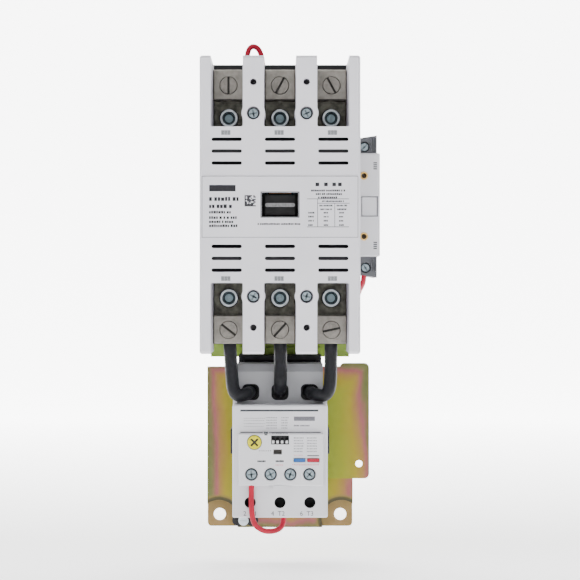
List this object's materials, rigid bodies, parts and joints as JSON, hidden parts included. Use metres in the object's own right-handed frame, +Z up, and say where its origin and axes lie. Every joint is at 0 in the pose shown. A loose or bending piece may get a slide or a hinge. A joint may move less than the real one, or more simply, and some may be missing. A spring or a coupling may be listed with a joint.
{
  "type": "magnetic motor starter",
  "caption": "Three-pole magnetic contactor and overload relay on one pressed plate, wired to each other, with a moving contact system, dial, switches and buttons.",
  "frame": {"origin": "panel face, midway between the two lower mounting holes", "axes": "+Z up; front faces -Y; +X right seen from the front"},
  "size_m": [0.1024, 0.1503, 0.2948],
  "materials": {
    "pale_plastic": "satin moulded pale grey",
    "black_plastic": "matte black moulding",
    "grey_plastic": "matte grey moulding",
    "chromate_steel": "yellow chromate",
    "zinc_steel": "bright zinc",
    "steel": "laminated steel",
    "plated_lug": "tin plated",
    "strap_metal": "dull plated copper",
    "copper": "copper",
    "silver_contact": "silver alloy",
    "brass": "brass",
    "spring_steel": "spring wire",
    "yellow_plastic": "yellow",
    "blue_plastic": "blue",
    "red_plastic": "red",
    "white_plastic": "white",
    "circuit_green": "board",
    "cable_black": "insulation",
    "wire_red": "insulation"
  },
  "bodies": {
    "frame": {"mounting_plate": "chromate_steel", "magnet_housing": "black_plastic", "plate_screws": "zinc_steel", "magnet_core": "steel", "shading_rings": "copper", "coil_bobbin": "black_plastic", "coil_winding": "copper", "coil_terminals": "black_plastic", "return_springs": "spring_steel", "contact_block": "black_plastic", "line_straps": "strap_metal", "load_straps": "strap_metal", "contact_tips": "silver_contact", "strap_bolts": "zinc_steel", "arc_plates": "steel", "arc_baffles": "black_plastic", "line_lugs": "plated_lug", "load_lugs": "plated_lug", "line_lug_screws": "plated_lug", "load_lug_screws": "plated_lug", "front_cover": "pale_plastic", "cover_screws": "zinc_steel", "nameplate": "white_plastic", "aux_body": "pale_plastic", "aux_shrouds": "grey_plastic", "aux_screws": "zinc_steel", "aux_eyelets": "brass", "relay_base": "black_plastic", "relay_housing": "pale_plastic", "relay_panel": "pale_plastic", "control_screws": "zinc_steel", "relay_shroud": "grey_plastic", "dip_block": "black_plastic", "current_transformers": "black_plastic", "relay_lugs": "plated_lug", "relay_lug_screws": "zinc_steel", "circuit_board": "circuit_green", "power_cable_left": "cable_black", "power_cable_middle": "cable_black", "power_cable_right": "cable_black", "coil_wire": "wire_red", "aux_wire": "wire_red", "relay_wire": "wire_red"},
    "moving_system": {"armature": "steel", "crossbar": "black_plastic", "contact_spring_left": "spring_steel", "contact_spring_middle": "spring_steel", "contact_spring_right": "spring_steel"},
    "bridge_left": {"contact_bridge_left": "copper"},
    "bridge_middle": {"contact_bridge_middle": "copper"},
    "bridge_right": {"contact_bridge_right": "copper"},
    "aux_actuator": {"aux_plunger": "white_plastic"},
    "dial": {"fla_dial": "yellow_plastic"},
    "slider_1": {"dip_slider_1": "white_plastic"},
    "slider_2": {"dip_slider_2": "white_plastic"},
    "slider_3": {"dip_slider_3": "white_plastic"},
    "slider_4": {"dip_slider_4": "white_plastic"},
    "reset": {"reset_button": "blue_plastic"},
    "test": {"test_button": "red_plastic"},
    "flag": {"trip_flag": "yellow_plastic"}
  },
  "joints": [
    {"name": "contactor_close", "type": "slide", "parent": "frame", "child": "moving_system", "axis": [0, 1, 0], "range_m": [0, 0.008], "stiffness_N_per_m": 900, "springref_m": -0.006, "deforming": ["return_springs"]},
    {"name": "bridge_left_wipe", "type": "slide", "parent": "moving_system", "child": "bridge_left", "axis": [0, 1, 0], "range_m": [-0.002, 0], "stiffness_N_per_m": 800, "springref_m": 0.003, "deforming": ["contact_spring_left"]},
    {"name": "bridge_middle_wipe", "type": "slide", "parent": "moving_system", "child": "bridge_middle", "axis": [0, 1, 0], "range_m": [-0.002, 0], "stiffness_N_per_m": 800, "springref_m": 0.003, "deforming": ["contact_spring_middle"]},
    {"name": "bridge_right_wipe", "type": "slide", "parent": "moving_system", "child": "bridge_right", "axis": [0, 1, 0], "range_m": [-0.002, 0], "stiffness_N_per_m": 800, "springref_m": 0.003, "deforming": ["contact_spring_right"]},
    {"name": "aux_follow", "type": "slide", "parent": "frame", "child": "aux_actuator", "axis": [0, 1, 0], "range_m": [0, 0.008]},
    {"name": "dial_turn", "type": "hinge", "parent": "frame", "child": "dial", "pos_m": [-0.0147, -0.1106, 0.052], "axis": [0, -1, 0], "range_deg": [-140, 140]},
    {"name": "dip_switch_1", "type": "slide", "parent": "frame", "child": "slider_1", "axis": [0, 0, 1], "range_m": [0, 0.0018]},
    {"name": "dip_switch_2", "type": "slide", "parent": "frame", "child": "slider_2", "axis": [0, 0, 1], "range_m": [0, 0.0018]},
    {"name": "dip_switch_3", "type": "slide", "parent": "frame", "child": "slider_3", "axis": [0, 0, 1], "range_m": [0, 0.0018]},
    {"name": "dip_switch_4", "type": "slide", "parent": "frame", "child": "slider_4", "axis": [0, 0, 1], "range_m": [0, 0.0018]},
    {"name": "reset_press", "type": "slide", "parent": "frame", "child": "reset", "axis": [0, 1, 0], "range_m": [0, 0.002], "stiffness_N_per_m": 1500, "springref_m": -0.001},
    {"name": "test_press", "type": "slide", "parent": "frame", "child": "test", "axis": [0, 1, 0], "range_m": [0, 0.002], "stiffness_N_per_m": 1500, "springref_m": -0.001},
    {"name": "trip_flag_slide", "type": "slide", "parent": "frame", "child": "flag", "axis": [1, 0, 0], "range_m": [0, 0.005]}
  ],
  "couplings": [
    {"joint": "bridge_left_wipe", "follows": "contactor_close", "ratio": -0.25},
    {"joint": "bridge_middle_wipe", "follows": "contactor_close", "ratio": -0.25},
    {"joint": "bridge_right_wipe", "follows": "contactor_close", "ratio": -0.25},
    {"joint": "aux_follow", "follows": "contactor_close", "ratio": 1}
  ]
}
